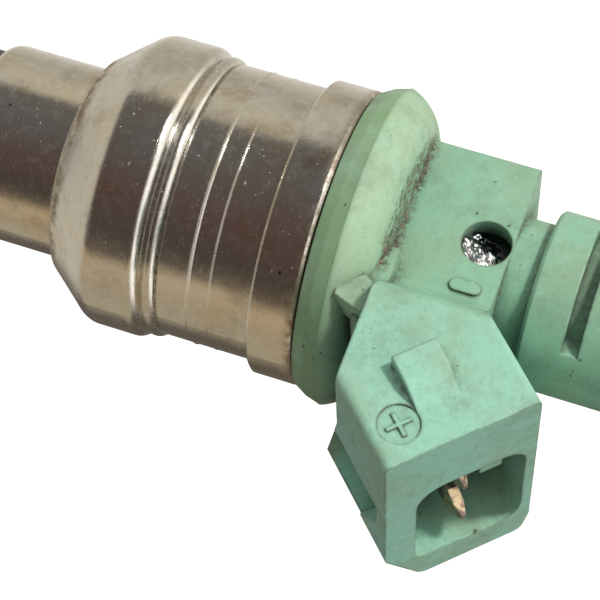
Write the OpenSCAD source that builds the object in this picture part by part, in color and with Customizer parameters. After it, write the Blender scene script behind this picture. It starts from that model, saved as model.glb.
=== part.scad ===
// Top-feed fuel injector with a crimped steel body, a moulded plastic upper body and a two-way
// plug header at 45 degrees. Millimetres. +Z runs up the injector axis towards the fuel rail.
// The origin is on the axis, at the lower end of the nozzle cap. The header leans towards +X.

/* [Steel body] */
// Diameter of the main turned barrel
body_d = 20.8; // [19:0.1:22]
// Diameter of the thick collar above the nozzle end
collar_d = 22.3; // [21:0.1:23]
// Diameter of the band that is crimped over the core flange
band_d = 22.4; // [21.5:0.1:23.5]
// Diameter of the slim nozzle end of the steel body
nose_d = 14.6; // [14:0.1:15]
// Bore that holds the coil
coil_bore_d = 18.4; // [17.5:0.1:19]

/* [Plastic body] */
// Diameter of the green flange
flange_d = 24.1; // [23:0.1:25.5]
// Thickness of the flat-sided block
block_thick = 10.9; // [9:0.1:12]
// Diameter of the upper barrel
barrel_d = 13.2; // [12.5:0.1:14]
// Diameter of the neck below the barrel
neck_d = 10.8; // [10:0.1:12]

/* [Plug header] */
// Width of the header across the two terminals
header_w = 20; // [18:0.1:22]
// Depth of the header in the plane of the injector axis
header_t = 11.6; // [10.5:0.1:13]
// Distance from the injector axis to the mouth, along the header
header_reach = 24.1; // [22:0.1:27]
// Distance between the two terminals
terminal_pitch = 5; // [4.5:0.1:5.5]

/* [Seals] */
// Outside diameter of the rail and manifold rings
ring_d = 14.7; // [14:0.1:15]
// Thickness of the rubber section
ring_section = 3.53; // [3:0.01:4]
// Distance between the two sealing rings
ring_spacing = 65; // [60:0.5:70]

/* [Valve] */
// Travel of the needle from closed to fully open
needle_lift = 0.12; // [0.08:0.01:0.2]
// Diameter of the needle's guiding lands
needle_d = 4; // [3:0.1:5]

/* [Hidden] */
$fn = 96;
eps = 0.01;
run = 0.03;                       // radial clearance of the needle in its guide

// Heights up the axis, from the nozzle cap to the filter
ring_low_z = 6.7;
ring_high_z = ring_low_z + ring_spacing;
cap_top_z = ring_low_z - ring_section / 2 - run;
support_z = ring_low_z + ring_section / 2 + run;
steel_z = 10;
shoulder_z = steel_z + 8.5;
collar_z = shoulder_z + 3.1;
groove_z = collar_z + 4.9;
step_z = groove_z + 8.2;
steel_top_z = step_z + 3.5;
flange_top_z = steel_top_z + 4.7;
block_top_z = steel_top_z + 12.8;
barrel_z = block_top_z + 2.25;
barrel_top_z = ring_high_z - ring_section / 2 - 1.5;
overall_z = ring_high_z + 4.7;

// Valve group
seat_z = 2.9;
valve_z = steel_z + 0.9;
valve_top_z = valve_z + 6.1;
stop_top_z = valve_top_z + 1.2;
yoke_top_z = stop_top_z + 6.4;
armature_z = stop_top_z + 0.5;
armature_top_z = armature_z + 8.8;
core_z = armature_top_z + 0.4;
plate_z = steel_top_z - 1.5;

// Radii shared by neighbours
tip_r = 3.8;                      // valve body where the lower ring sits
valve_r = 6.1;
core_r = 4.4;
tube_r = 4.2;
bore_r = 1.9;
basket_r = 2.45;
filter_bore_r = 3;
filter_z = 57;
armature_r = 4.3;
coil_r = coil_bore_d / 2;
band_r = band_d / 2;
ring_r = ring_d / 2 - ring_section / 2;

// Coil
bobbin_z = yoke_top_z + 1.1;
bobbin_top_z = plate_z - 0.9;
bobbin_r = 6;
bobbin_flange = 0.85;

// Header frame: s runs out along the header, t towards the fuel rail
lean = sqrt(0.5);
header_z = 35.8;                  // height at which the header's axis meets the injector's
header_low_z = flange_top_z + 0.5;
header_x = 8.5;                   // where the flared side reaches the header's full width
flare_x = 4.5;                    // where the flat side starts to flare
block_back = 7.25;
mouth_t = [-3.4, 5];              // cavity limits towards the nozzle and towards the rail
mouth_y = [-3.65, 7.1];           // cavity limits across the terminals
mouth_depth = 10;
blade_w = 2.8;
blade_t = 0.8;
blade_mid = 0.6;
leg_x = 4.9;
blade_y = [1.8 - terminal_pitch / 2, 1.8 + terminal_pitch / 2];
stake_z = block_top_z - 1.9;
stake_r = 1.82;

function st(s, t) = [(s - t) * lean, header_z + (s + t) * lean];
function arc(cx, cz, r, a0, a1, n = 6) =
    [for (i = [0:n]) [cx + r * cos(a0 + (a1 - a0) * i / n), cz + r * sin(a0 + (a1 - a0) * i / n)]];

// Outline with every corner rounded; each entry is [x, y, radius].
function rounded(corners, n = 5) = let (count = len(corners)) [for (i = [0:count - 1])
    let (
        here = [corners[i][0], corners[i][1]],
        before = corners[(i + count - 1) % count],
        after = corners[(i + 1) % count],
        u = unit([before[0], before[1]] - here),
        v = unit([after[0], after[1]] - here),
        half = acos(u * v) / 2,
        centre = here + unit(u + v) * corners[i][2] / sin(half),
        from = here + u * corners[i][2] / tan(half) - centre,
        to = here + v * corners[i][2] / tan(half) - centre,
        a0 = atan2(from[1], from[0]),
        turn = (atan2(to[1], to[0]) - a0 + 540) % 360 - 180
    )
    for (k = [0:n]) centre + corners[i][2] * [cos(a0 + turn * k / n), sin(a0 + turn * k / n)]
];
function unit(v) = v / norm(v);

// Turns a profile of [radius, height] points about the axis.
module turned(points) {
    rotate_extrude() polygon(points);
}

module tube(r_out, r_in, z0, z1) {
    difference() {
        translate([0, 0, z0]) cylinder(r = r_out, h = z1 - z0);
        translate([0, 0, z0 - 1]) cylinder(r = r_in, h = z1 - z0 + 2);
    }
}

module torus(r_mid, r_sec, z) {
    translate([0, 0, z]) rotate_extrude() translate([r_mid, 0]) circle(r = r_sec);
}

// Raises an [x, z] outline between two y values.
module slab(points, y0, y1) {
    translate([0, y1, 0]) rotate([90, 0, 0]) linear_extrude(y1 - y0) polygon(points);
}

// Places children in the header's own directions: X along it, Y across, Z towards the rail.
module in_header() {
    translate([0, 0, header_z]) rotate([0, -45, 0]) children();
}

module header_box(s0, s1, t0, t1, y0, y1) {
    in_header() translate([s0, y0, t0]) cube([s1 - s0, y1 - y0, t1 - t0]);
}

// ---- steel body -------------------------------------------------------------------------------

// A narrow ridge left by the turning tool.
function turned_line(r, z, high) = [[r, z - 1.6 * high], [r + high, z], [r, z + 1.6 * high]];

module steel_housing() {
    r = body_d / 2;
    rc = collar_d / 2;
    rn = nose_d / 2;
    outer = concat(
        arc(rn - 1, steel_z + 1, 1, -90, 0),
        [[rn, shoulder_z - 0.5]],
        arc(rn + 0.5, shoulder_z - 0.5, 0.5, 180, 90, 4),
        [[rn + 1.05, shoulder_z]],
        arc(rc - 1.8, collar_z + 0.95, 1.8, -39, 0, 10),
        arc(rc - 0.8, groove_z - 1.1, 0.8, 0, 60, 6),
        [[rc - 0.7, groove_z - 0.2]],
        arc(rc - 1, groove_z + 0.35, 0.6, -10, 80, 6),
        [[r - 0.2, groove_z + 1], [r, groove_z + 1.15]],
        turned_line(r, groove_z + 3.5, 0.07),
        turned_line(r, groove_z + 5.1, 0.04),
        [[r, step_z], [band_r - 0.15, step_z + 0.05], [band_r, step_z + 0.2]],
        [[band_r, steel_top_z - 0.3], [band_r - 0.2, steel_top_z]]
    );
    inner = [
        [coil_r, steel_top_z], [coil_r, yoke_top_z],
        [armature_r + 0.08, yoke_top_z], [armature_r + 0.08, stop_top_z],
        [valve_r + 0.03, stop_top_z], [valve_r + 0.03, valve_z],
        [valve_r - 0.4, valve_z], [valve_r - 0.4, steel_z]
    ];
    color("silver") turned(concat(outer, inner));
}

// ---- plastic upper body -----------------------------------------------------------------------

module flange_profile() {
    r = flange_d / 2;
    z = flange_top_z;
    crown = 4.1;
    crown_from = 20;
    turned([
        [tube_r, steel_top_z], [coil_r + 0.1, steel_top_z], [coil_r + 0.1, steel_top_z + 0.12],
        [r - 0.8, steel_top_z + 0.12], [r - 0.3, steel_top_z + 1], [r - 0.02, steel_top_z + 2],
        each arc(r - crown * cos(crown_from), z - crown, crown, crown_from, 86, 14),
        [tube_r, z]
    ]);
}

// Curve, seen from above, along which the flat side flares out to the header's width.
function flare(m, n = 8) = [for (i = [0:n])
    let (u = i / n, swell = u * u * (3 - 2 * u))
    [flare_x + (header_x - flare_x) * u, m * (block_thick + (header_w - block_thick) * swell) / 2]
];

module block() {
    low = flange_top_z - 0.5;
    h = block_thick / 2;
    translate([0, 0, low]) linear_extrude(block_top_z - low)
        polygon(rounded([
            [-block_back, -h, 0.35], [flare_x + 1, -h, 0.1], [flare_x + 1, h, 0.1], [-block_back, h, 0.35]
        ], 3));
}

// The header's body seen from the side, before the cavity is cut.
module header_shell() {
    h = header_t / 2;
    low = header_low_z;
    side = [
        [flare_x, low], [low - st(0, -h)[1] + st(0, -h)[0], low],
        st(header_reach, -h), st(header_reach, h),
        [block_top_z - st(0, h)[1] + st(0, h)[0], block_top_z], [flare_x, block_top_z]
    ];
    difference() {
        slab(side, -header_w / 2, header_w / 2);
        // both sides fall away to the flat block
        for (m = [-1, 1])
            translate([0, 0, low - 1])
            linear_extrude(20)
            polygon(concat(flare(m), [[header_x, m * header_w], [0, m * header_w], [0, m * block_thick / 2]]));
    }
}

// Fin under each side of the header that runs out over the shoulder of the flange.
module gusset(m) {
    low = header_low_z;
    y = m * (header_w / 2 - 1.7);
    slab([[6.6, low - 1], [8.1, low - 2.6], [8.8, low - 2.6], [9.8, low], [9.8, low + 1], [8.5, low + 1]],
        min(y, y - m * 2), max(y, y - m * 2));
}

// The far half of the header's underside reaches lower, towards the steel body.
module keel() {
    translate([8, 0, 0]) rotate([90, 0, 90])
        linear_extrude(20)
        polygon([[-3.3, header_low_z], [5.8, header_low_z - 1.6], [7.5, header_low_z + 0.5], [-3.3, header_low_z + 0.5]]);
}

// Web that joins the header to the top of the flange.
module header_root() {
    translate([flare_x - 1, -block_thick / 2 - 2, flange_top_z - 0.5])
        cube([6.5, block_thick + 4, header_low_z - flange_top_z + 1]);
}

// The header's cross-section, run along it. The far edge that faces the nozzle is chamfered.
module header_section() {
    h = header_t / 2;
    w = header_w / 2;
    in_header() rotate([90, 0, 90]) linear_extrude(header_reach)
        polygon(rounded([
            [-w, -h, 0.6], [w - 4.8, -h, 1.2], [w, 2.9 - h, 1.2], [w, h - 0.6, 0.8], [w - 2.2, h, 1.5], [-w, h, 0.5]
        ]));
}

module header_cavity() {
    in_header() rotate([90, 0, 90]) translate([0, 0, header_reach - mouth_depth])
        linear_extrude(mouth_depth + 1)
        polygon(rounded([
            [mouth_y[0], mouth_t[0], 2.2], [mouth_y[1], mouth_t[0], 0.9],
            [mouth_y[1], mouth_t[1], 1.8], [mouth_y[0], mouth_t[1], 1.8]
        ]));
}

// Pocket that cores out the side that faces the nozzle. Its outer end runs across at a slant.
module mould_pocket() {
    y0 = -1.5;
    y1 = 5.6;
    far_end = header_reach - 1.3;
    in_header() translate([0, 0, -header_t / 2 - 1]) linear_extrude(3)
        polygon([[12.2, y0], [far_end, y0], [far_end, y0 + 2.5], [far_end - 3.1, y1], [12.2, y1]]);
}

// Side ramp that the plug's wire clip snaps over, one on each side.
module clip_ramp(m) {
    top = 1.2;
    w = header_w / 2;
    in_header()
        translate([0, 0, -2])
        linear_extrude(3.3)
        polygon([
            [17.3, m * (w - 0.2)], [17.3, m * (w + top)], [19.3, m * (w + top - 0.2)],
            [21.2, m * w], [21.2, m * (w - 0.2)]
        ]);
}

// Shallow round dish and the cross in it, which show the positive terminal.
mark_at = [21.45, -header_w / 2, -3.5];
mark_deep = 0.15;

module polarity_dish() {
    in_header() translate(mark_at) rotate([90, 0, 0]) cylinder(r = 1.5, h = 2 * mark_deep, center = true);
}

module polarity_cross() {
    in_header() translate(mark_at) for (bar = [[1.9, 0.3], [0.3, 1.9]])
        translate([-bar[0] / 2, 0, -bar[1] / 2]) cube([bar[0], 1.2 * mark_deep, bar[1]]);
}

// Plain raised pad on the near flat side.
module side_pad() {
    for (z = [48.1, 49.4])
        translate([3.9, -block_thick / 2 - 0.2, z]) rotate([-90, 0, 0]) cylinder(r = 0.5, h = 0.4);
    translate([3.4, -block_thick / 2 - 0.2, 48.1]) cube([1, 0.4, 1.3]);
}

// Side-action pockets that core out the barrel either side of the parting plane.
module barrel_pockets() {
    for (i = [0:2], m = [-1, 1])
        translate([0, 0, barrel_z + 3.1 + i * 3.9])
        intersection() {
            tube(barrel_d, neck_d / 2, 0, 1.25);
            translate([-barrel_d, m > 0 ? 3.3 : -3.3 - barrel_d, 0]) cube([2 * barrel_d, barrel_d, 1.25]);
        }
}

module barrel() {
    rb = barrel_d / 2;
    rn = neck_d / 2;
    turned([
        [tube_r, flange_top_z], [rn, flange_top_z], [rn, barrel_z], [rb - 0.25, barrel_z],
        [rb, barrel_z + 0.25], [rb, barrel_top_z - 0.4], [rb - 0.4, barrel_top_z], [tube_r, barrel_top_z]
    ]);
}

module header_form() {
    intersection() {
        union() {
            header_shell();
            keel();
        }
        union() {
            header_section();
            // the root keeps its plain outline
            translate([0, -header_w / 2, 0]) cube([10, header_w, block_top_z]);
        }
    }
    header_root();
    gusset(-1);
    gusset(1);
}

module connector_body() {
    color("mediumseagreen") difference() {
        union() {
            flange_profile();
            block();
            header_form();
            barrel();
            clip_ramp(-1);
            clip_ramp(1);
            side_pad();
        }
        translate([0, 0, steel_top_z - 1]) cylinder(r = tube_r, h = 60);
        barrel_pockets();
        header_cavity();
        polarity_dish();
        mould_pocket();
        // staking access, through both flat sides
        translate([0, -header_w, stake_z]) rotate([-90, 0, 0]) cylinder(r = stake_r, h = 2 * header_w);
        terminal(blade_y[0]);
        terminal(blade_y[1]);
    }
    color("mediumseagreen") polarity_cross();
    // key rib inside the cavity
    color("mediumseagreen") header_box(header_reach - mouth_depth - 0.5, header_reach - 0.5,
        1.7, 3.4, mouth_y[0] - 0.1, mouth_y[0] + 2);
}

// ---- terminals --------------------------------------------------------------------------------

// One stamped strip: a leg up from the coil, a 45 degree bend and a blade with a bevelled tip.
module terminal(y) {
    t0 = blade_mid - blade_t / 2;
    t1 = blade_mid + blade_t / 2;
    tip = header_reach - 0.4;
    w = blade_w / 2;
    bend = function(x, t) st(0, t)[1] + x - st(0, t)[0];
    difference() {
        slab([
            [leg_x, bobbin_top_z], [leg_x + blade_t, bobbin_top_z],
            [leg_x + blade_t, bend(leg_x + blade_t, t0)],
            st(tip - 0.8, t0), st(tip, blade_mid - 0.15), st(tip, blade_mid + 0.15), st(tip - 0.8, t1),
            [leg_x, bend(leg_x, t1)]
        ], y - w, y + w);
        in_header() translate([0, y, 0]) for (m = [-1, 1])
            translate([0, 0, -5]) linear_extrude(10)
            polygon([
                [tip - 1.8, m * (w + eps)], [tip + 0.4, m * 0.05],
                [tip + 0.4, m * (w + 1)], [tip - 1.8, m * (w + 1)]
            ]);
    }
}

module terminal_near() {
    color("goldenrod") terminal(blade_y[0]);
}

module terminal_far() {
    color("goldenrod") terminal(blade_y[1]);
}

// Window in the core flange for one terminal.
module terminal_slot(y) {
    wall = 0.4;
    translate([leg_x - wall, y - blade_w / 2 - wall, plate_z])
        cube([blade_t + 2 * wall, blade_w + 2 * wall, steel_top_z - plate_z]);
}

// Insulating sleeves that carry the terminals through the core flange.
module terminal_grommets() {
    color("dimgray") for (y = blade_y) difference() {
        terminal_slot(y);
        translate([leg_x, y - blade_w / 2, plate_z - 1]) cube([blade_t, blade_w, 4]);
    }
}

// ---- fuel tube and magnetic core --------------------------------------------------------------

module inlet_tube() {
    lip_z = ring_high_z + ring_section / 2 + run;
    color("lightsteelblue") difference() {
        turned([
            [bore_r, core_z], [core_r, core_z], [core_r, plate_z], [coil_r - 0.05, plate_z],
            [coil_r - 0.05, steel_top_z], [tube_r, steel_top_z], [tube_r, barrel_top_z],
            [tip_r, barrel_top_z], [tip_r, lip_z], [6.2, lip_z], [6.2, lip_z + 0.8],
            [5.9, lip_z + 1.1], [4.6, lip_z + 1.1], [4.6, overall_z - 0.5], [4.1, overall_z],
            [filter_bore_r, overall_z], [filter_bore_r, filter_z], [bore_r, filter_z]
        ]);
        for (y = blade_y)
            terminal_slot(y);
        // staked craters that grip the adjusting sleeve
        for (m = [-1, 1]) translate([0, m * (tube_r + 0.75), stake_z]) sphere(r = 1.35);
    }
}

module adjusting_sleeve() {
    color("slategray") tube(bore_r, 1.2, 43, 56);
}

// ---- filter -----------------------------------------------------------------------------------

filter_top_z = ring_high_z - 1.1;

module filter_collar() {
    color("gold") turned([
        [2.2, filter_top_z], [filter_bore_r, filter_top_z], [filter_bore_r, overall_z - 0.5],
        [2.45, overall_z - 0.5], [2.2, overall_z - 0.75]
    ]);
}

module filter_basket() {
    color("ivory") {
        tube(filter_bore_r - 0.05, basket_r, filter_top_z - 1, filter_top_z);
        translate([0, 0, filter_z + 1.4]) cylinder(r = 2.8, h = 0.8);
        for (a = [45:90:315])
            rotate([0, 0, a]) translate([basket_r, -0.3, filter_z + 2.2]) cube([0.3, 0.6, filter_top_z - filter_z - 3.2]);
    }
}

module filter_mesh() {
    color("white") tube(basket_r + 0.42, basket_r + 0.34, filter_z + 2.2, filter_top_z - 1);
}

// ---- valve ------------------------------------------------------------------------------------

module armature() {
    color("gray") difference() {
        tube(armature_r, 1.4, armature_z, armature_top_z);
        translate([0, 0, armature_z + 4.9]) cylinder(r = 1.95, h = 10);
        for (a = [0, 90])
            translate([0, 0, armature_z + 4.2]) rotate([0, 90, a]) cylinder(r = 0.6, h = 20, center = true);
    }
}

module needle() {
    r = needle_d / 2;
    collar_top = valve_top_z - needle_lift - eps;
    color("lightgray") difference() {
        turned([
            [0, 0.9], [0.55, 0.9], [0.45, 1.4], [0.42, 2.6], [0.72, seat_z + 0.04], [r - 0.05, seat_z + 1.5],
            [r - 0.4, seat_z + 2.2], [r - 0.4, 6], [r, 6.2], [r, 8.6], [r - 0.4, 8.8], [r - 0.4, 12.2],
            [r, 12.4], [r, 14.9], [1.4, 15.1], [1.4, 15.7], [2.9, 15.7], [2.9, collar_top],
            [1.4, collar_top], [1.4, armature_z + 3.5], [0, armature_z + 3.5]
        ]);
        // flats on the guiding lands let the fuel pass
        for (a = [0:90:270])
            rotate([0, 0, a]) translate([r - 0.22, -r, 5.5]) cube([1, 2 * r, 9.55]);
    }
}

module valve_body() {
    g = needle_d / 2 + run;
    color("darkgray") turned([
        [0.75, 1.6], [tip_r - 0.3, 1.6], [tip_r, 1.9], [tip_r, steel_z], [valve_r - 0.5, steel_z],
        [valve_r - 0.5, valve_z], [valve_r, valve_z], [valve_r, valve_top_z], [3.2, valve_top_z],
        [3.2, 15.4], [g, 15.4], [g, seat_z + 1.56], [0.75, seat_z]
    ]);
}

module stop_plate() {
    color("gray") difference() {
        tube(valve_r, 1.7, valve_top_z, stop_top_z);
        translate([0, -1.7, valve_top_z - 1]) cube([10, 3.4, 4]);
    }
}

// A wire spring swept as one closed mesh from rings of points.
module return_spring() {
    z0 = armature_z + 4.95;
    z1 = 42.95;
    wire = 0.28;
    mid = 1.45;
    turns = 11;
    steps = turns * 20;
    sides = 8;
    rise = z1 - z0 - 2 * wire;
    rings = [for (i = [0:steps]) [for (j = [0:sides - 1])
        let (a = 360 * turns * i / steps, b = 360 * j / sides, r = mid + wire * cos(b))
        [r * cos(a), r * sin(a), z0 + wire + rise * i / steps + wire * sin(b)]
    ]];
    points = [for (ring = rings) for (p = ring) p];
    walls = [for (i = [0:steps - 1]) for (j = [0:sides - 1])
        let (k = (j + 1) % sides)
        [i * sides + j, (i + 1) * sides + j, (i + 1) * sides + k, i * sides + k]
    ];
    start = [for (j = [0:sides - 1]) j];
    finish = [for (j = [sides - 1:-1:0]) steps * sides + j];
    color("silver") polyhedron(points, concat(walls, [start, finish]));
}

// ---- coil -------------------------------------------------------------------------------------

module coil_bobbin() {
    seat = 1.1;
    color("tan") difference() {
        turned([
            [core_r + 0.35, bobbin_z], [coil_r - 0.2, bobbin_z], [coil_r - 0.2, bobbin_z + bobbin_flange],
            [bobbin_r, bobbin_z + bobbin_flange], [bobbin_r, bobbin_top_z - bobbin_flange],
            [coil_r - 0.2, bobbin_top_z - bobbin_flange], [coil_r - 0.2, bobbin_top_z],
            [core_r + 0.35, bobbin_top_z]
        ]);
        translate([0, 0, bobbin_top_z - seat]) cylinder(r = core_r + 1.05, h = 5);
    }
}

module coil_winding() {
    color("chocolate") tube(coil_r - 0.6, bobbin_r, bobbin_z + bobbin_flange, bobbin_top_z - bobbin_flange);
}

module coil_seal_upper() {
    color("black") torus(core_r + 0.5, 0.46, bobbin_top_z - 0.55);
}

module coil_seal_lower() {
    color("black") torus(5.4, 0.54, (yoke_top_z + bobbin_z) / 2);
}

// ---- outer seals ------------------------------------------------------------------------------

module ring_upper() {
    color("black") torus(ring_r, ring_section / 2, ring_high_z);
}

module ring_lower() {
    color("black") torus(ring_r, ring_section / 2, ring_low_z);
}

module backup_ring() {
    color("dimgray") tube(barrel_d / 2 - 0.1, tip_r, barrel_top_z, ring_high_z - ring_section / 2 - run);
}

module support_ring() {
    color("dimgray") tube(6.5, tip_r, support_z, steel_z - 0.03);
}

module nozzle_cap() {
    r = 6.7;
    color("dimgray") turned([
        [3, 0], [r, 0], [r, cap_top_z], [tip_r, cap_top_z], [tip_r, 1.6], [2.6, 1.6], [2.6, 0.8]
    ]);
}

steel_housing();
connector_body();
terminal_near();
terminal_far();
terminal_grommets();
inlet_tube();
adjusting_sleeve();
filter_collar();
filter_basket();
filter_mesh();
armature();
needle();
valve_body();
stop_plate();
return_spring();
coil_bobbin();
coil_winding();
coil_seal_upper();
coil_seal_lower();
ring_upper();
ring_lower();
backup_ring();
support_ring();
nozzle_cap();
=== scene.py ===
"""Fuel injector: materials, fine pieces, studio and camera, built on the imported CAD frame."""

import math

import bmesh
import bpy
from mathutils import Matrix, Vector, noise


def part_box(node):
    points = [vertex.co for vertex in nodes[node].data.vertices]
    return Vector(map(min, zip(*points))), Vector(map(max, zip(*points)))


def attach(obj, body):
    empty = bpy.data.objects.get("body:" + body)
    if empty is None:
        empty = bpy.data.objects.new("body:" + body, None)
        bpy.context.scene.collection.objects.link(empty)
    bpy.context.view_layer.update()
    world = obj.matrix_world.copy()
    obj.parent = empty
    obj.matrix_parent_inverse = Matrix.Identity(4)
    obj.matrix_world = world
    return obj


# The frame is in metres. Every size below is in millimetres until it is multiplied by MM.
MM = 0.001

FLANGE_RISE = 4.7           # from the end of the crimp up to the foot of the flat block
STAKE_DROP = 27.3           # from the fuel tube's upper end down to the staking holes

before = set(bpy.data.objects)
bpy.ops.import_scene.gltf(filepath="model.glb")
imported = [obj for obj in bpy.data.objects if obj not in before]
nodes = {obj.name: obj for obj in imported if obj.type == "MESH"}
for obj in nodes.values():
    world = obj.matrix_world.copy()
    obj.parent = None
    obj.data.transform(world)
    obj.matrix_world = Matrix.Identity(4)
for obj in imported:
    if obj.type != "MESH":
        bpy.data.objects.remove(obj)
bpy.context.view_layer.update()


def lowest(node):
    """Corner of a CAD node's box with the smallest x, y and z, in millimetres."""
    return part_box(node)[0] / MM


def highest(node):
    """Corner of a CAD node's box with the largest x, y and z, in millimetres."""
    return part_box(node)[1] / MM


def stake_height():
    return highest("inlet_tube").z - STAKE_DROP


# ---- node trees -------------------------------------------------------------------------------

class Tree:
    """A node tree, with short ways to add nodes and join them."""

    # a Mix node has sockets for every kind of value, and its colour ones are at these places
    COLOUR_A, COLOUR_B, COLOUR_RESULT = 6, 7, 2
    NUMBER_A, NUMBER_B, NUMBER_RESULT = 2, 3, 0

    def __init__(self, tree):
        self.tree = tree

    def add(self, kind, **settings):
        made = self.tree.nodes.new(kind)
        for key, value in settings.items():
            setattr(made, key, value)
        return made

    def feed(self, socket, value):
        """Links a socket to another, or sets it to a number or colour."""
        if isinstance(value, bpy.types.NodeSocket):
            self.tree.links.new(value, socket)
        elif isinstance(value, tuple) and socket.type == "RGBA":
            socket.default_value = (*value, 1)
        else:
            socket.default_value = value

    def math(self, operation, a, b=0.0, clamp=False):
        made = self.add("ShaderNodeMath", operation=operation, use_clamp=clamp)
        self.feed(made.inputs[0], a)
        self.feed(made.inputs[1], b)
        return made.outputs[0]

    def plus(self, a, b, clamp=False):
        return self.math("ADD", a, b, clamp)

    def minus(self, a, b):
        return self.math("SUBTRACT", a, b)

    def times(self, a, b):
        return self.math("MULTIPLY", a, b)

    def split(self, vector):
        """The x, y and z of a vector."""
        made = self.add("ShaderNodeSeparateXYZ")
        self.feed(made.inputs[0], vector)
        return made.outputs

    def dot(self, a, b):
        made = self.add("ShaderNodeVectorMath", operation="DOT_PRODUCT")
        self.feed(made.inputs[0], a)
        self.feed(made.inputs[1], b)
        return made.outputs["Value"]

    def span(self, value, source, target=(0.0, 1.0), curve="LINEAR"):
        """Takes the range source to the range target, and holds the value at the ends."""
        made = self.add("ShaderNodeMapRange", interpolation_type=curve, clamp=True)
        limits = zip(("From Min", "From Max", "To Min", "To Max"), (*source, *target))
        self.feed(made.inputs["Value"], value)
        for name, number in limits:
            made.inputs[name].default_value = number
        return made.outputs["Result"]

    def between(self, value, low, high):
        """0 below low and 1 above high, smooth between them. low may be above high."""
        if low <= high:
            return self.span(value, (low, high), curve="SMOOTHSTEP")
        return self.span(value, (high, low), (1.0, 0.0), curve="SMOOTHSTEP")

    def blend(self, amount, a, b):
        """Colour between a and b."""
        made = self.add("ShaderNodeMix", data_type="RGBA")
        self.feed(made.inputs["Factor"], amount)
        self.feed(made.inputs[self.COLOUR_A], a)
        self.feed(made.inputs[self.COLOUR_B], b)
        return made.outputs[self.COLOUR_RESULT]

    def level(self, amount, a, b):
        """Number between a and b."""
        made = self.add("ShaderNodeMix", data_type="FLOAT")
        self.feed(made.inputs["Factor"], amount)
        self.feed(made.inputs[self.NUMBER_A], a)
        self.feed(made.inputs[self.NUMBER_B], b)
        return made.outputs[self.NUMBER_RESULT]

    def over(self, base, mask, strength, colour):
        """Lays a colour over base where mask is 1, at that strength."""
        return self.blend(self.times(mask, strength), base, colour)


class Shader(Tree):
    """One surface material. Positions are read in the frame's own millimetres."""

    def __init__(self, name, metallic=0.0):
        self.material = bpy.data.materials.new(name)
        self.material.use_nodes = True
        super().__init__(self.material.node_tree)
        self.surface = self.tree.nodes["Principled BSDF"]
        self.surface.inputs["Metallic"].default_value = metallic
        coords = self.add("ShaderNodeTexCoord")
        to_mm = self.add("ShaderNodeVectorMath", operation="SCALE")
        to_mm.inputs["Scale"].default_value = 1 / MM
        self.feed(to_mm.inputs[0], coords.outputs["Object"])
        self.place = to_mm.outputs[0]
        self.x, self.y, self.z = self.split(self.place)

    def stretched(self, factors):
        made = self.add("ShaderNodeVectorMath", operation="MULTIPLY")
        self.feed(made.inputs[0], self.place)
        self.feed(made.inputs[1], factors)
        return made.outputs[0]

    def noise(self, per_mm, detail=3.0, rough=0.55, stretch=None, seed=0.0):
        """Noise from 0 to 1 with that many cycles in a millimetre."""
        made = self.add("ShaderNodeTexNoise", noise_dimensions="4D")
        self.feed(made.inputs["Vector"], self.stretched(stretch) if stretch else self.place)
        made.inputs["W"].default_value = seed
        made.inputs["Scale"].default_value = per_mm
        made.inputs["Detail"].default_value = detail
        made.inputs["Roughness"].default_value = rough
        return made.outputs["Fac"]

    def patches(self, low, high, per_mm, **settings):
        """Patches of noise: 0 where it is below low and 1 where it is above high."""
        return self.between(self.noise(per_mm, **settings), low, high)

    def turned_lines(self, per_mm, seed, detail=3, across=0.1, rough=0.8):
        """Noise drawn out round the axis, as a lathe tool leaves it."""
        stretch = (across, across, per_mm)
        return self.noise(1.0, detail=detail, rough=rough, stretch=stretch, seed=seed)

    def crevice(self, reach, low=0.45, high=0.9):
        """1 in inner corners, 0 on open surfaces."""
        made = self.add("ShaderNodeAmbientOcclusion", samples=6)
        made.inputs["Distance"].default_value = reach * MM
        return self.between(made.outputs["AO"], high, low)

    def rounded(self, radius):
        """Surface direction with the edges rounded off to that radius."""
        made = self.add("ShaderNodeBevel", samples=4)
        made.inputs["Radius"].default_value = radius * MM
        return made.outputs[0]

    def edge(self, radius):
        """1 on outer and inner edges, 0 on flat stretches."""
        flat = self.add("ShaderNodeNewGeometry").outputs["Normal"]
        turned = self.minus(1.0, self.dot(self.rounded(radius), flat))
        return self.between(turned, 0.02, 0.25)

    def finish(self, colour, roughness, height=None, bump=0.2, depth=0.05, soften=0.0):
        """Sets colour and roughness, rounds edges by soften and adds bumps depth tall."""
        self.feed(self.surface.inputs["Base Color"], colour)
        self.feed(self.surface.inputs["Roughness"], roughness)
        direction = self.rounded(soften) if soften else None
        if height is not None:
            relief = self.add("ShaderNodeBump")
            relief.inputs["Strength"].default_value = bump
            relief.inputs["Distance"].default_value = depth * MM
            self.feed(relief.inputs["Height"], height)
            if direction is not None:
                self.feed(relief.inputs["Normal"], direction)
            direction = relief.outputs[0]
        if direction is not None:
            self.feed(self.surface.inputs["Normal"], direction)
        return self.material


def dress(material, *names):
    """Gives CAD nodes that material alone."""
    for name in names:
        slots = nodes[name].data.materials
        slots.clear()
        slots.append(material)


# ---- green upper body -------------------------------------------------------------------------

def green_by_region(s, crease):
    """Mint body, brighter header, yellower shoulder and olive flange rim."""
    mint = (0.285, 0.545, 0.375)
    header_mint = (0.350, 0.680, 0.520)
    shoulder_green = (0.390, 0.560, 0.370)
    olive = (0.250, 0.420, 0.215)
    header = s.between(s.x, 5.0, 11.0)
    shoulder = s.between(s.z, crease + 0.3, crease - 0.5)
    rim = s.between(s.z, crease - 2.3, crease - 2.9)
    base = s.blend(header, mint, header_mint)
    base = s.blend(shoulder, base, shoulder_green)
    return s.blend(rim, base, olive)


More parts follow.
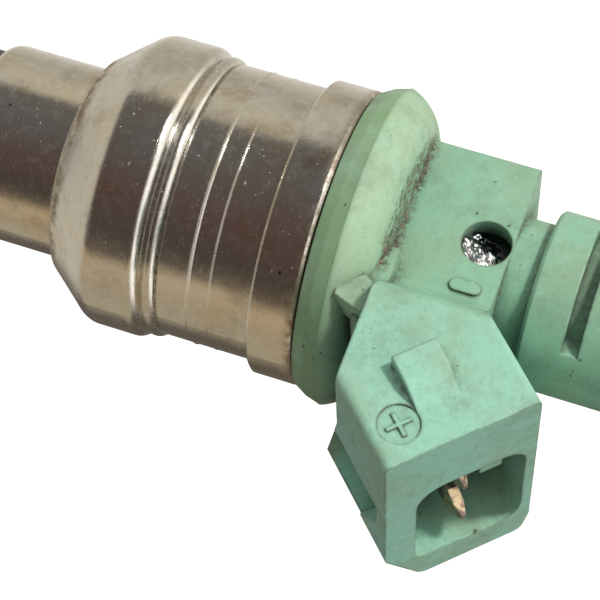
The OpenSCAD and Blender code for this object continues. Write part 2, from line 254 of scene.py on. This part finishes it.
def edge_highlight_and_dirt(s, base):
    """Edges carry a painted pale highlight in places and hold a brown line of dirt in others."""
    pale_edge_highlight = (0.62, 0.78, 0.60)
    brown = (0.160, 0.145, 0.085)
    edge = s.edge(0.35)
    where = s.noise(0.5, detail=5, rough=0.7, seed=3.0)
    # painted highlight: pale colour laid on the edges where the noise is low
    base = s.over(base, s.times(edge, s.between(where, 0.50, 0.36)), 0.55, pale_edge_highlight)
    return s.over(base, s.times(edge, s.between(where, 0.42, 0.56)), 0.78, brown)


def caught_grains(s, crease):
    """1 on the grains of dirt caught where the flat block meets the flange."""
    belt = s.times(s.between(s.z, crease - 0.35, crease), s.between(s.z, crease + 1.0, crease))
    clear_of_header = s.between(s.x, 6.5, 5.0)
    belt = s.times(belt, clear_of_header)
    grain = s.noise(2.4, detail=5, rough=0.8, seed=6.0)
    return s.times(belt, s.between(s.plus(grain, s.times(belt, 0.12)), 0.58, 0.63))


def green_plastic():
    """Glass-filled nylon: mint on the header, more olive on the flange, with handling dirt, painted
    shade in the hollows and painted pale edge highlights.
    """
    s = Shader("green_plastic")
    faded = (0.320, 0.480, 0.310)
    pale_mint = (0.42, 0.72, 0.58)
    dark_green = (0.19, 0.32, 0.22)
    grey_green = (0.19, 0.24, 0.16)
    hollow_shade_teal = (0.045, 0.125, 0.105)
    brown_dirt = (0.080, 0.070, 0.040)
    black_grain = (0.030, 0.024, 0.020)
    tan_grain = (0.22, 0.155, 0.095)
    pit_black = (0.05, 0.06, 0.04)
    crease = highest("steel_housing").z + FLANGE_RISE
    base = green_by_region(s, crease)
    # slow tint changes and a fine fibre mottle
    cloud = s.patches(0.44, 0.64, per_mm=0.20, detail=4, rough=0.6, seed=1.0)
    base = s.over(base, cloud, 0.60, faded)
    pale = s.patches(0.50, 0.70, per_mm=0.45, detail=5, rough=0.6, seed=2.0)
    base = s.over(base, pale, 0.30, pale_mint)
    mottle = s.noise(2.2, detail=7, rough=0.8, seed=2.5)
    base = s.over(base, s.between(mottle, 0.48, 0.66), 0.38, dark_green)
    base = edge_highlight_and_dirt(s, base)
    # grey film, painted shade in the deep hollows, then brown dirt packed in the corners
    film = s.patches(0.46, 0.66, per_mm=0.35, detail=7, rough=0.72, seed=4.0)
    base = s.over(base, film, 0.34, grey_green)
    # painted shade: dark teal wherever ambient occlusion finds a deep hollow
    base = s.over(base, s.crevice(7.0, low=0.18, high=0.58), 0.90, hollow_shade_teal)
    grit = s.patches(0.36, 0.60, per_mm=2.2, detail=6, rough=0.75, seed=5.0)
    base = s.over(base, s.times(s.crevice(1.1), grit), 0.85, brown_dirt)
    # grains round the foot of the flat block, and scattered small dark pits
    grains = caught_grains(s, crease)
    grain_tint = s.blend(s.patches(0.42, 0.58, per_mm=3.5, seed=6.5), black_grain, tan_grain)
    base = s.over(base, grains, 0.9, grain_tint)
    pit = s.patches(0.725, 0.765, per_mm=1.5, detail=2, rough=0.4, seed=7.0)
    base = s.over(base, pit, 0.75, pit_black)
    rough = s.level(film, s.level(mottle, 0.40, 0.52), 0.66)
    fine = s.noise(5.0, detail=4, rough=0.6, seed=8.0)
    slow = s.noise(0.8, detail=2, seed=9.0)
    relief = s.minus(s.plus(s.plus(fine, slow), s.times(grains, 1.6)), pit)
    return s.finish(base, rough, relief, bump=0.5, depth=0.045, soften=0.25)


# ---- metals -----------------------------------------------------------------------------------

def tarnished_nickel(s, smoke, haze):
    """Grey nickel with warm, smoky, hazy and varnished patches."""
    nickel = (0.660, 0.645, 0.600)
    straw = (0.640, 0.545, 0.400)
    smoke_grey = (0.360, 0.335, 0.315)
    white_haze = (0.860, 0.855, 0.830)
    varnish_brown = (0.430, 0.275, 0.140)
    warm = s.patches(0.42, 0.62, per_mm=0.13, detail=5, rough=0.6, seed=11.0)
    base = s.over(nickel, warm, 0.60, straw)
    base = s.over(base, smoke, 0.50, smoke_grey)
    base = s.over(base, haze, 0.40, white_haze)
    varnish = s.patches(0.56, 0.70, per_mm=0.24, detail=6, rough=0.65, seed=14.0)
    return s.over(base, varnish, 0.55, varnish_brown)


def seam_stain(s):
    """1 on the brown lines where the bevel springs from the slim end, and beside the plastic."""
    bevel_foot = lowest("steel_housing").z + 8.6
    end = highest("steel_housing").z
    corner = s.between(s.math("ABSOLUTE", s.minus(s.z, bevel_foot)), 0.9, 0.1)
    seam = s.between(s.z, end - 0.9, end - 0.1)
    broken = s.patches(0.36, 0.62, per_mm=0.7, detail=6, rough=0.75, seed=15.0)
    return s.times(s.plus(corner, seam, clamp=True), broken)


def housing_steel():
    """Nickel-plated turned steel with heat stains, fuel varnish and dust."""
    s = Shader("housing_steel", metallic=1.0)
    stain_brown = (0.200, 0.130, 0.070)
    grime_brown = (0.090, 0.070, 0.050)
    dust_white = (0.90, 0.89, 0.86)
    spot_black = (0.05, 0.035, 0.03)
    smoke = s.patches(0.46, 0.68, per_mm=0.35, detail=6, rough=0.7, seed=12.0)
    haze = s.patches(0.46, 0.66, per_mm=1.6, detail=7, rough=0.8, seed=13.0)
    base = tarnished_nickel(s, smoke, haze)
    stain = seam_stain(s)
    base = s.over(base, stain, 0.75, stain_brown)
    grime_patches = s.patches(0.40, 0.62, per_mm=2.0, detail=5, rough=0.7, seed=15.5)
    grime = s.times(s.crevice(0.5, low=0.35, high=0.75), grime_patches)
    base = s.over(base, grime, 0.7, grime_brown)
    dust = s.patches(0.67, 0.72, per_mm=3.2, detail=3, rough=0.6, seed=16.0)
    base = s.over(base, dust, 0.6, dust_white)
    spot = s.patches(0.745, 0.785, per_mm=1.3, detail=2, rough=0.5, seed=17.0)
    base = s.over(base, spot, 0.8, spot_black)
    rough = s.level(smoke, s.level(haze, 0.15, 0.26), 0.30)
    rough = s.level(s.plus(s.plus(grime, stain), dust, clamp=True), rough, 0.6)
    lines = s.turned_lines(14.0, seed=18.0, detail=4)
    scratch = s.between(s.turned_lines(9.0, seed=18.5, across=0.9, rough=0.6), 0.62, 0.70)
    dent = s.noise(0.35, detail=4, rough=0.5, seed=19.0)
    relief = s.plus(s.times(lines, 0.30), s.times(dent, 3.0))
    relief = s.minus(relief, s.times(scratch, 0.35))
    return s.finish(base, rough, relief, bump=0.30, depth=0.030, soften=0.14)


def plain_steel(name, base, roughness, seed, brushed=10.0):
    """Machined metal with fine turning lines and a little tarnish."""
    s = Shader(name, metallic=1.0)
    tarnished = tuple(part * 0.6 for part in base)
    corner_black = (0.05, 0.04, 0.03)
    tarnish = s.patches(0.42, 0.72, per_mm=0.4, detail=5, seed=seed)
    colour = s.over(base, tarnish, 0.4, tarnished)
    dirt = s.times(s.crevice(0.5), s.patches(0.35, 0.6, per_mm=2.0, seed=seed + 1))
    colour = s.over(colour, dirt, 0.7, corner_black)
    rough = s.level(tarnish, roughness, roughness + 0.15)
    lines = s.turned_lines(brushed, seed=seed + 2)
    return s.finish(colour, rough, lines, bump=0.2, depth=0.02, soften=0.08)


def crushed_tube_steel():
    """The fuel tube: bright, and crumpled where it was staked through the side holes, with painted
    shadow on one side of each hole.
    """
    s = Shader("tube_steel", metallic=1.0)
    bright = (0.86, 0.87, 0.90)
    grey = (0.40, 0.40, 0.42)
    hole_shadow_black = (0.030, 0.032, 0.042)
    tarnish = s.patches(0.42, 0.72, per_mm=0.5, detail=5, seed=31.0)
    colour = s.over(bright, tarnish, 0.4, grey)
    above_stake = s.minus(s.z, stake_height())
    near_stake = s.between(s.math("ABSOLUTE", above_stake), 2.2, 1.6)
    # the painted shadow lies on the side of the hole away from the heaped metal
    toward_heap = s.minus(s.times(s.x, 0.87), s.times(above_stake, 0.5))
    hole_shadow = s.plus(s.noise(0.9, detail=5, rough=0.6, seed=31.5), s.times(toward_heap, -0.16))
    hole_shadow = s.times(s.between(hole_shadow, 0.46, 0.56), near_stake)
    # painted shadow: near-black laid over one side of each staking hole
    colour = s.over(colour, hole_shadow, 0.93, hole_shadow_black)
    fold = s.noise(0.9, detail=3, rough=0.55, seed=32.0)
    lines = s.turned_lines(12.0, seed=33.0)
    relief = s.plus(s.times(lines, 0.06), s.times(fold, near_stake))
    rough = s.level(tarnish, 0.12, 0.24)
    return s.finish(colour, rough, relief, bump=0.8, depth=0.35, soften=0.06)


def worn_copper():
    """Stamped copper alloy blades, dull brown, with a painted gold highlight where the plug wipes
    the bevelled tip.
    """
    s = Shader("terminal_metal", metallic=0.85)
    copper = (0.52, 0.36, 0.27)
    dull_brown = (0.20, 0.155, 0.135)
    tip_highlight_gold = (1.0, 0.80, 0.50)
    rubbed_edge = (0.90, 0.70, 0.52)
    tip = highest("terminal_near").x
    dull = s.patches(0.36, 0.60, per_mm=0.9, detail=6, rough=0.65, seed=51.0)
    colour = s.over(copper, dull, 0.8, dull_brown)
    # painted highlight: patchy gold on the bevelled tip, where the plug also wipes the blade
    tip_highlight = s.times(s.between(s.x, tip - 1.7, tip - 1.2), s.between(s.x, tip - 0.2, tip - 0.5))
    patchy = s.patches(0.40, 0.54, per_mm=2.0, detail=4, rough=0.6, seed=51.5)
    colour = s.blend(s.times(tip_highlight, patchy), colour, tip_highlight_gold)
    colour = s.over(colour, s.edge(0.2), 0.4, rubbed_edge)
    scratch = s.noise(1.0, detail=3, rough=0.7, stretch=(2.0, 6.0, 2.0), seed=52.0)
    return s.finish(colour, s.level(dull, 0.26, 0.42), scratch, depth=0.04, soften=0.08)


def wound_wire():
    """Enamelled wire laid side by side, drawn as ridges round the coil."""
    s = Shader("copper_winding", metallic=0.7)
    wire_pitch = 0.28
    gap_brown = (0.10, 0.03, 0.012)
    enamel = (0.62, 0.26, 0.10)
    turns = s.math("SINE", s.times(s.z, 2 * math.pi / wire_pitch))
    colour = s.blend(s.between(turns, -1.0, 0.4), gap_brown, enamel)
    rough = s.level(s.noise(1.2, seed=61.0), 0.25, 0.4)
    return s.finish(colour, rough, turns, bump=0.6, depth=0.08)


# ---- plastics and rubber ----------------------------------------------------------------------

def moulded(name, base, seed, roughness=0.5):
    """Plain moulded plastic or rubber with a fine grain, dust and scuffed edges."""
    s = Shader(name)
    faded = tuple(min(1, part * 1.6 + 0.01) for part in base)
    scuff_grey = (0.35, 0.34, 0.31)
    dust_tan = (0.45, 0.42, 0.36)
    cloud = s.patches(0.4, 0.7, per_mm=0.3, detail=5, seed=seed)
    colour = s.over(base, cloud, 0.35, faded)
    scuff = s.times(s.edge(0.15), s.patches(0.4, 0.65, per_mm=1.5, seed=seed + 1))
    colour = s.over(colour, scuff, 0.3, scuff_grey)
    dust = s.patches(0.60, 0.72, per_mm=3.0, detail=5, rough=0.75, seed=seed + 2)
    colour = s.over(colour, dust, 0.12, dust_tan)
    grain = s.noise(6.0, detail=4, rough=0.65, seed=seed + 3)
    rough = s.level(cloud, roughness, roughness + 0.12)
    return s.finish(colour, rough, grain, bump=0.35, depth=0.02, soften=0.1)


def woven_mesh():
    """Fine filter weave from two crossed sets of ridges."""
    s = Shader("filter_mesh")
    threads_round = 56.0
    thread_pitch = 0.25
    hollow = (0.24, 0.23, 0.19)
    thread = (0.80, 0.78, 0.70)
    warp = s.math("SINE", s.times(s.math("ARCTAN2", s.y, s.x), threads_round))
    weft = s.math("SINE", s.times(s.z, 2 * math.pi / thread_pitch))
    weave = s.math("MAXIMUM", warp, weft)
    colour = s.blend(s.between(weave, 0.0, 0.8), hollow, thread)
    return s.finish(colour, 0.6, weave, bump=0.6)


# ---- crushed metal in the staking holes -------------------------------------------------------

def crumpled(side, x, z):
    """Distance from the injector's axis to the crushed metal, at a point of the hole's face."""
    lowest_face = 3.80
    mark = Vector((x, side * 5.0, z))
    fold = abs(noise.noise(mark * 1.2)) + 0.45 * abs(noise.noise(mark * 2.9))
    # the punch leant, so the metal is heaped on one side
    heaped = min(1.0, max(0.15, 0.60 + 0.40 * (0.87 * x - 0.5 * z)))
    return lowest_face + 0.75 * heaped + 0.95 * heaped * fold


def crumpled_disc(side, height):
    """Points and faces of a closed disc whose outer face is crumpled."""
    radius = 1.74
    back = 3.6
    rings = 22
    sectors = 64
    around = [(sector, (sector + 1) % sectors) for sector in range(sectors)]
    points = []
    for ring in range(rings + 1):
        out = radius * ring / rings
        for sector in range(sectors):
            angle = 2 * math.pi * sector / sectors
            x = out * math.cos(angle)
            z = out * math.sin(angle)
            points.append((x * MM, side * crumpled(side, x, z) * MM, (height + z) * MM))
    faces = []
    for ring in range(rings):
        inner = ring * sectors
        outer = inner + sectors
        faces += [(inner + now, inner + after, outer + after, outer + now) for now, after in around]
    # skirt and back, so that the disc is closed
    rim = rings * sectors
    flat = len(points)
    points += [(x, side * back * MM, z) for x, _, z in points[rim:]]
    faces += [(rim + now, rim + after, flat + after, flat + now) for now, after in around]
    faces.append(tuple(range(flat, flat + sectors)))
    return points, faces


def crushed_metal(name, side, material):
    """Metal of the fuel tube, thrown up round the punch mark at the bottom of a staking hole."""
    points, faces = crumpled_disc(side, stake_height())
    mesh = bpy.data.meshes.new(name)
    mesh.from_pydata(points, [], faces)
    shape = bmesh.new()
    shape.from_mesh(mesh)
    bmesh.ops.remove_doubles(shape, verts=shape.verts, dist=1e-7)
    bmesh.ops.recalc_face_normals(shape, faces=shape.faces)
    shape.to_mesh(mesh)
    shape.free()
    for face in mesh.polygons:
        face.use_smooth = True
    mesh.materials.append(material)
    piece = bpy.data.objects.new(name, mesh)
    bpy.context.scene.collection.objects.link(piece)
    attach(piece, "injector")


# ---- dressing the part ------------------------------------------------------------------------

def dress_outside():
    dress(green_plastic(), "connector_body")
    dress(housing_steel(), "steel_housing")
    tube_steel = crushed_tube_steel()
    dress(tube_steel, "inlet_tube")
    crushed_metal("staked_metal_near", -1, tube_steel)
    crushed_metal("staked_metal_far", 1, tube_steel)
    dress(worn_copper(), "terminal_near", "terminal_far")
    rubber = moulded("seal_rubber", (0.016, 0.016, 0.016), 106.0, roughness=0.38)
    dress(rubber, "ring_upper", "ring_lower", "coil_seal_upper", "coil_seal_lower")
    backing = moulded("backing_plastic", (0.055, 0.050, 0.045), 94.0)
    dress(backing, "backup_ring", "support_ring")
    dress(moulded("cap_plastic", (0.030, 0.030, 0.033), 98.0, roughness=0.42), "nozzle_cap")


def dress_inside():
    dress(wound_wire(), "coil_winding")
    dress(woven_mesh(), "filter_mesh")
    valve_steel = plain_steel("valve_steel", (0.66, 0.65, 0.63), 0.16, 71.0)
    dress(valve_steel, "valve_body", "needle", "stop_plate")
    spring_steel = plain_steel("spring_steel", (0.52, 0.51, 0.50), 0.22, 77.0, brushed=3.0)
    dress(spring_steel, "return_spring")
    dress(plain_steel("core_iron", (0.50, 0.50, 0.51), 0.30, 74.0), "armature")
    dress(plain_steel("sleeve_steel", (0.55, 0.55, 0.54), 0.26, 80.0), "adjusting_sleeve")
    dress(plain_steel("filter_brass", (0.80, 0.62, 0.32), 0.22, 83.0), "filter_collar")
    dress(moulded("filter_plastic", (0.62, 0.58, 0.46), 86.0), "filter_basket")
    dress(moulded("bobbin_plastic", (0.30, 0.24, 0.15), 90.0), "coil_bobbin")
    dress(moulded("grommet_plastic", (0.030, 0.030, 0.030), 102.0), "terminal_grommets")


# ---- studio -----------------------------------------------------------------------------------

def floor():
    """Plain pale floor that fills the view behind the part, kept white by a faint glow."""
    half = 1.5
    corners = [(-half, -half, 0), (half, -half, 0), (half, half, 0), (-half, half, 0)]
    mesh = bpy.data.meshes.new("floor")
    mesh.from_pydata(corners, [], [(0, 1, 2, 3)])
    ground = bpy.data.objects.new("floor", mesh)
    bpy.context.scene.collection.objects.link(ground)
    s = Shader("floor")
    cloud = s.noise(0.01, detail=2, seed=120.0)
    mesh.materials.append(s.finish(s.blend(cloud, (0.93, 0.93, 0.93), (0.96, 0.96, 0.96)), 0.8))
    s.surface.inputs["Emission Color"].default_value = (1, 1, 1, 1)
    s.surface.inputs["Emission Strength"].default_value = 0.45
    # the glow lights neither the part's underside nor its metal
    ground.visible_glossy = False
    ground.visible_diffuse = False


def mirrored_room(t, toward):
    """What the metal mirrors: a dark side, a bright side, a softbox overhead and a pale table."""
    bright = (0.66, 0.61, 0.50)
    dark = (0.140, 0.132, 0.126)
    umber = (0.122, 0.076, 0.068)
    warm = (0.62, 0.49, 0.33)
    dim = (0.14, 0.12, 0.10)
    softbox = (1.5, 1.45, 1.38)
    table = (0.66, 0.62, 0.53)
    # direction in degrees from +X, and the colour of the room's wall there
    wall = [
        (-180, (0.55, 0.52, 0.45)),
        (-144, bright),
        (-131, bright),
        (-126, (0.17, 0.16, 0.15)),
        (-90, dark),
        (-50, umber),
        (-14, (0.085, 0.068, 0.060)),
        (2, (0.15, 0.12, 0.09)),
        (12, warm),
        (35, (0.48, 0.40, 0.28)),
        (62, (0.50, 0.44, 0.33)),
        (74, dim),
        (104, dim),
        (128, (0.9, 0.88, 0.82)),
        (180, (0.52, 0.49, 0.40)),
    ]
    x, y, z = t.split(toward)
    around = t.span(t.math("ARCTAN2", y, x), (-math.pi, math.pi))
    painted = t.add("ShaderNodeValToRGB")
    t.feed(painted.inputs[0], around)
    ramp = painted.color_ramp
    while len(ramp.elements) < len(wall):
        ramp.elements.new(0.5)
    for element, (degrees, colour) in zip(ramp.elements, wall):
        element.position = (degrees + 180) / 360
        element.color = (*colour, 1)
    room = t.blend(t.between(z, 0.50, 0.72), painted.outputs[0], softbox)
    return t.blend(t.between(z, -0.45, -0.72), room, table)


def sky():
    """Soft studio surround: white to the camera, a room to the metal, a soft fill to the rest."""
    world = bpy.data.worlds.new("studio")
    bpy.context.scene.world = world
    world.use_nodes = True
    t = Tree(world.node_tree)
    toward = t.add("ShaderNodeTexCoord").outputs["Generated"]
    key_side = Vector((-0.70, -0.55, -0.45)).normalized()
    fill = t.span(t.dot(toward, key_side), (-1.0, 1.0), (0.13, 0.58))
    path = t.add("ShaderNodeLightPath").outputs
    light = t.blend(path["Is Glossy Ray"], fill, mirrored_room(t, toward))
    light = t.blend(path["Is Camera Ray"], light, (1, 1, 1))
    t.feed(t.tree.nodes["Background"].inputs["Color"], light)


def lamp(name, toward, spread, strength, tint=(1, 1, 1), mirrored=False):
    """Distant soft light from that direction, as wide as spread degrees."""
    light = bpy.data.lights.new(name, "SUN")
    light.angle = math.radians(spread)
    light.energy = strength
    light.color = tint
    holder = bpy.data.objects.new(name, light)
    bpy.context.scene.collection.objects.link(holder)
    holder.rotation_mode = "QUATERNION"
    holder.rotation_quaternion = Vector(toward).to_track_quat("Z", "Y")
    holder.visible_glossy = mirrored


def camera():
    """Camera at the picture's viewing angle: rolled, so that the part lies across the frame."""
    azimuth = math.radians(-62.625)
    elevation = math.radians(10.967)
    roll = math.radians(106.754)
    distance = 177.137
    aim = Vector((5.770, 0, 36.981))
    back = Vector((math.cos(elevation) * math.cos(azimuth),
                   math.cos(elevation) * math.sin(azimuth),
                   math.sin(elevation)))
    level_right = Vector((0, 0, 1)).cross(back).normalized()
    level_up = back.cross(level_right)
    right = math.cos(roll) * level_right + math.sin(roll) * level_up
    up = back.cross(right)
    made = bpy.data.objects.new("camera", bpy.data.cameras.new("camera"))
    bpy.context.scene.collection.objects.link(made)
    turned = Matrix((right, up, back)).transposed().to_4x4()
    made.matrix_world = Matrix.Translation((aim + distance * back) * MM) @ turned
    made.data.lens = 146.65
    made.data.sensor_width = 36
    made.data.clip_start = 0.01
    bpy.context.scene.camera = made


def studio():
    floor()
    sky()
    lamp("key_light", (-0.27, -0.83, 0.49), 9, 2.0, tint=(1.0, 0.98, 0.93), mirrored=True)
    lamp("top_light", (0.25, -0.30, 0.90), 60, 0.8)
    camera()
    view = bpy.context.scene.view_settings
    view.view_transform = "Standard"
    view.look = "None"


dress_outside()
dress_inside()
studio()
